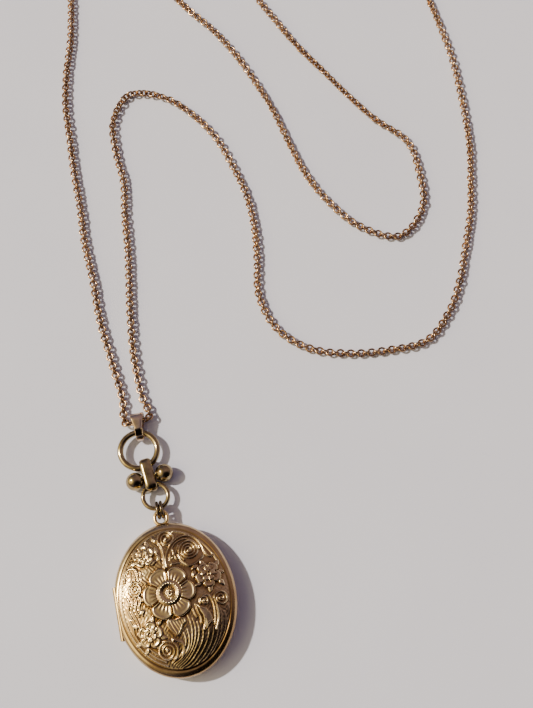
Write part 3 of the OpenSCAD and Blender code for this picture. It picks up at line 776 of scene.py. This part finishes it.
def add_drop():
    x_axis, y_axis, z_axis = (1, 0, 0), (0, 1, 0), (0, 0, 1)
    for body, ring in (("upper_ring", UPPER_RING), ("lower_ring", LOWER_RING)):
        bent_ring(body, ring["centre"], x_axis, y_axis, ring["radius"], ring["wire"], ring["seam"],
                  ANTIQUE, body)
    x, y, z = JUMP_RINGS["middle"]
    # The jump rings take the darkened oxide material, which is partly painted shade.
    for side, way in (("left", -1), ("right", 1)):
        bent_ring("jump_ring_" + side, (x + way * JUMP_RINGS["apart"] / 2, y, z), y_axis, z_axis,
                  JUMP_RINGS["radius"], JUMP_RINGS["wire"], 250 + 10 * way, OXIDE_AND_SHADE_BRASS, "jump_rings", gap=0.04)
    add_eye()
    band_loop("strap_band", "strap_link", STRAP_PLACE, STRAP_LEAN, STRAP_ENDS, domed_section(0.47, 0.13),
              lambda along: STRAP_HALF_W, ANTIQUE, "strap")
    front = [(0.84, 0.43), (0.88, 0.41), (0.96, 0.34), (1, 0.14)]
    bail_section = ([(-x, lift) for x, lift in front[::-1]] + [(-0.4, 0.45), (0, 0.46), (0.4, 0.45)]
                    + front + [(0.96, 0), (0, 0), (-0.96, 0)])
    bail = band_loop("bail_band", "bail", BAIL_PLACE, BAIL_LEAN, BAIL_ENDS, bail_section,
                     lambda along: np.interp(along, [-5.6, -2.0, 2.1], [1.0, 1.1, 2.05]),
                     PALE, "bail")
    paint_bail_foot_reflection(bail, len(bail_section))
    add_balls()


def paint_bail_foot_reflection(bail, columns):
    """A shallow channel down the front of the bail's foot, between two bright edges, painted black as a dark
    reflection.
    """
    shades = bail.data.attributes.new("painted_shade_and_patina", "FLOAT", "POINT")
    for i, vertex in enumerate(bail.data.vertices):
        _, y, z = vertex.co / MM
        in_channel = 3 <= i % columns <= 7 and BAIL_FOOT[0] < y < BAIL_FOOT[1] and z > LEVEL - 0.5
        # Painted reflection: the channel is painted black, the rest left at full tone.
        shades.data[i].value = 0.0 if in_channel else 1.0
        if in_channel:
            vertex.co.z -= 0.16 * MM


def add_eye():
    """Oval wire loop soldered to the back half by its lower end, which sits in the rim."""
    across, radius = EYE["across"], EYE["radius"]
    angle = np.radians(np.arange(0, 180, 4))
    upper = np.c_[across + radius * np.cos(angle), EYE["top"] + radius * np.sin(angle)]
    lower = np.c_[across - radius * np.cos(angle), EYE["bottom"] - radius * np.sin(angle)]
    line = np.c_[np.vstack([upper, lower]), np.full(2 * len(angle), EYE["level"])]
    headings = unit(np.roll(line, -1, axis=0) - np.roll(line, 1, axis=0))
    rings = wire_points(line, headings, np.full(len(line), EYE["wire"]), WIRE_SIDES, (0, 0, 1))
    faces = [tuple(reversed(f)) for f in ring_faces(len(line), WIRE_SIDES, close_rows=True)]
    add_piece("locket_eye_bent", rings.reshape(-1, 3), faces, PLAIN_GILT, "locket_back",
              ("locket_eye",))


def add_balls():
    """Two drilled balls and the bar through them."""
    tilt = math.radians(BALLS["tilt_deg"])
    along = np.array([math.cos(tilt), math.sin(tilt), 0])
    side, up = np.array([-math.sin(tilt), math.cos(tilt), 0]), np.array([0, 0, 1])
    middle = np.array(BALLS["middle"])
    radius, bore, reach = BALLS["radius"], BALLS["bore"], BALLS["reach"]
    sides = 64
    around = np.arange(sides) * 2 * math.pi / sides
    ring = np.cos(around)[:, None] * side + np.sin(around)[:, None] * up
    hole = math.asin(bore / radius)
    for name, way in (("ball_left", -1), ("ball_right", 1)):
        bend = np.linspace(hole, math.pi - 0.02, 44)
        rows = [(-0.96, bore), (-1.6, bore)] + [(-radius * math.cos(b), radius * math.sin(b)) for b in bend]
        points = np.vstack([middle + way * (reach + a) * along + r * ring for a, r in rows])
        faces = ring_faces(len(rows), sides) + end_faces(len(rows), sides)
        if way < 0:
            faces = [tuple(reversed(f)) for f in faces]
        ball = add_piece(name + "_drilled", points, faces, ANTIQUE, "ball_bar", (name,))
        sharpen(ball, 50)
    rows = [(-BAR_HALF, BAR_R), (0, BAR_R), (BAR_HALF, BAR_R)]
    points = np.vstack([middle + a * along + r * ring for a, r in rows])
    bar = add_piece("bar_round", points, ring_faces(3, sides) + end_faces(3, sides), ANTIQUE, "ball_bar",
                    ("ball_bar",))
    sharpen(bar, 50)


# ---------- locket halves ----------

def add_locket():
    embossed_cover()
    oval_solid("back_shell", BACK_PROFILE, PLAIN_GILT, "locket_back")
    lip = [(1, 0.52, 3.86), (1, 0.75, 3.9), (1, 0.75, 4.7), (1, 0.8, 4.75), (1, 1.15, 4.75), (1, 1.2, 4.7),
           (1, 1.2, 3.9), (1, 2.15, 3.9), (1, 2.2, 3.85), (1, 2.2, 2.72), (1, 3.4, 2.7), (1, 3.4, 2.4),
           (1, 0.52, 2.4)]
    collar = oval_solid("back_collar", lip, PLAIN_GILT, "locket_back", hollow=True)
    lower_lip_at_hinge(collar)
    front = [(1, 1.3, 4.14), (1, 1.34, 4.1), (1, 2.16, 4.1), (1, 2.2, 4.14), (1, 2.2, 4.85), (1, 3.2, 4.87),
             (1, 3.2, 5.1), (1, 0.52, 5.1), (1, 0.52, 4.86), (1, 1.3, 4.85)]
    oval_solid("front_collar", front[::-1], PLAIN_GILT, "cover", hollow=True)
    for half, body, z0, z1 in (("back", "locket_back", 3.2, 3.85), ("front", "cover", 4.12, 4.35)):
        frame_profile = [(1, 2.32, z0), (1, 2.32, z1 - 0.05), (1, 2.37, z1), (1, 2.9, z1 + 0.02),
                         (1, 3.44, z1), (1, 3.5, z1 - 0.06), (1, 3.5, z0)]
        if half == "front":
            middle = z0 + z1
            frame_profile = [(s, d, middle - z) for s, d, z in frame_profile[::-1]]
        oval_solid(half + "_frame", frame_profile, PLAIN_GILT, body, hollow=True)
    plates = (("back_card", "locket_back", 2.7, 2.94, CARD, "paper"),
              ("back_window", "locket_back", 2.96, 3.19, CLEAR, "clear_sheet"),
              ("front_card", "cover", 4.61, 4.85, CARD, "paper"),
              ("front_window", "cover", 4.36, 4.59, CLEAR, "clear_sheet"))
    for name, body, z0, z1, material, slot in plates:
        profile = [(1, 2.35, z0), (1, 2.31, z0 + 0.03), (1, 2.31, z1 - 0.03), (1, 2.35, z1)]
        oval_solid(name, profile, material, body)


def lower_lip_at_hinge(collar):
    """The snap lip stops short on the hinge side, where the cover's liner swings through."""
    for vertex in collar.data.vertices:
        x, y, z = vertex.co / MM
        if x < -8 and abs(y) < 9 and z > LIP_FOOT:
            vertex.co.z = LIP_FOOT * MM


def finish_cad_nodes():
    """CAD nodes that stay in view get their finish."""
    looks = {WORN_GILT: ("back_knuckle", "cover_knuckles"), PLAIN_GILT: ("catch_bead",),
             ANTIQUE: ("hinge_pin",), ROSE: ("clasp_ring", "clasp_eye", "clasp_link", "end_ring"),
             BOLT: ("clasp_bolt",), STEEL: ("clasp_spring",)}
    for material, names in looks.items():
        for name in names:
            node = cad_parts[name]
            node.data.materials.clear()
            node.data.materials.append(material)


# ---------- light and floor ----------

FLOOR_HALF, FLOOR_GAP = 3.0, 0.00002
SUN_ENERGY, SUN_ANGLE_DEG, SUN_HEIGHT_DEG = 4.3, 2.5, 47
SUN_COLOR = (1.0, 0.93, 0.72)


def add_stage():
    mesh = bpy.data.meshes.new("floor")
    corners = [(x * FLOOR_HALF, y * FLOOR_HALF, 0) for x, y in ((-1, -1), (1, -1), (1, 1), (-1, 1))]
    mesh.from_pydata(corners, [], [(0, 1, 2, 3)])
    floor = bpy.data.objects.new("floor", mesh)
    material, tree, shader = new_material("floor")
    tone = add_ramp(tree, add_noise(tree, 30, 3), [(0.3, (0.665, 0.68, 0.925)), (0.7, (0.685, 0.70, 0.945))])
    tree.links.new(tone, shader.inputs["Base Color"])
    shader.inputs["Roughness"].default_value = 0.7
    mesh.materials.append(material)
    floor.location.z = -FLOOR_GAP
    bpy.context.scene.collection.objects.link(floor)
    sun = bpy.data.lights.new("key", "SUN")
    sun.energy = SUN_ENERGY
    sun.angle = math.radians(SUN_ANGLE_DEG)
    sun.color = SUN_COLOR
    key = bpy.data.objects.new("key", sun)
    right, away = Vector(CAMERA_RIGHT), Vector((-CAMERA_RIGHT[1], CAMERA_RIGHT[0], 0))
    height = math.radians(SUN_HEIGHT_DEG)
    travel = math.cos(height) * (0.985 * right - 0.17 * away) - math.sin(height) * Vector((0, 0, 1))
    key.rotation_euler = travel.to_track_quat("-Z", "Y").to_euler()
    bpy.context.scene.collection.objects.link(key)
    add_world(travel)


def add_world(travel):
    """A lavender room that the metal reflects: bright towards the key light, rosy to the right and
    dark to the lower right. What the camera sees past the floor is a plain pale backdrop."""
    world = bpy.data.worlds.new("room")
    bpy.context.scene.world = world
    world.use_nodes = True
    tree = world.node_tree
    where = tree.nodes.new("ShaderNodeTexCoord").outputs["Generated"]

    def toward(direction, low, high):
        """0 to 1 as the line of sight turns to that direction."""
        dot = tree.nodes.new("ShaderNodeVectorMath")
        dot.operation = "DOT_PRODUCT"
        dot.inputs[1].default_value = Vector(direction).normalized()
        tree.links.new(where, dot.inputs[0])
        share = add_range(tree, dot.outputs["Value"], 0, 1)
        share.node.inputs["From Min"].default_value = low
        share.node.inputs["From Max"].default_value = high
        return share

    glow = Vector((-travel.x - 0.06, -travel.y - 0.2, 0.8 * -travel.z))
    room = add_ramp(tree, toward(glow, -1, 1), [
        (0.0, (0.20, 0.22, 0.28)), (0.4, (0.115, 0.117, 0.205)), (0.8, (0.13, 0.125, 0.20)),
        (0.93, (0.62, 0.52, 0.30)), (0.98, (3.3, 2.75, 1.35))])
    rosy = mix_colors(tree, toward((0.62, 0.40, 0.62), 0.5, 0.92), room, (0.36, 0.27, 0.29))
    shade = mix_colors(tree, toward((0.42, -0.70, 0.55), 0.6, 0.86), rosy, (0.008, 0.007, 0.008))
    seen = tree.nodes.new("ShaderNodeLightPath").outputs["Is Camera Ray"]
    backdrop = mix_colors(tree, seen, shade, (0.80, 0.78, 0.78))
    tree.links.new(backdrop, tree.nodes["Background"].inputs["Color"])
    tree.nodes["Background"].inputs["Strength"].default_value = 1.0


add_camera()
rolo_chain("chain_left", LEFT_ROUTE)
rolo_chain("chain_right", RIGHT_ROUTE)
add_drop()
add_locket()
finish_cad_nodes()
add_stage()
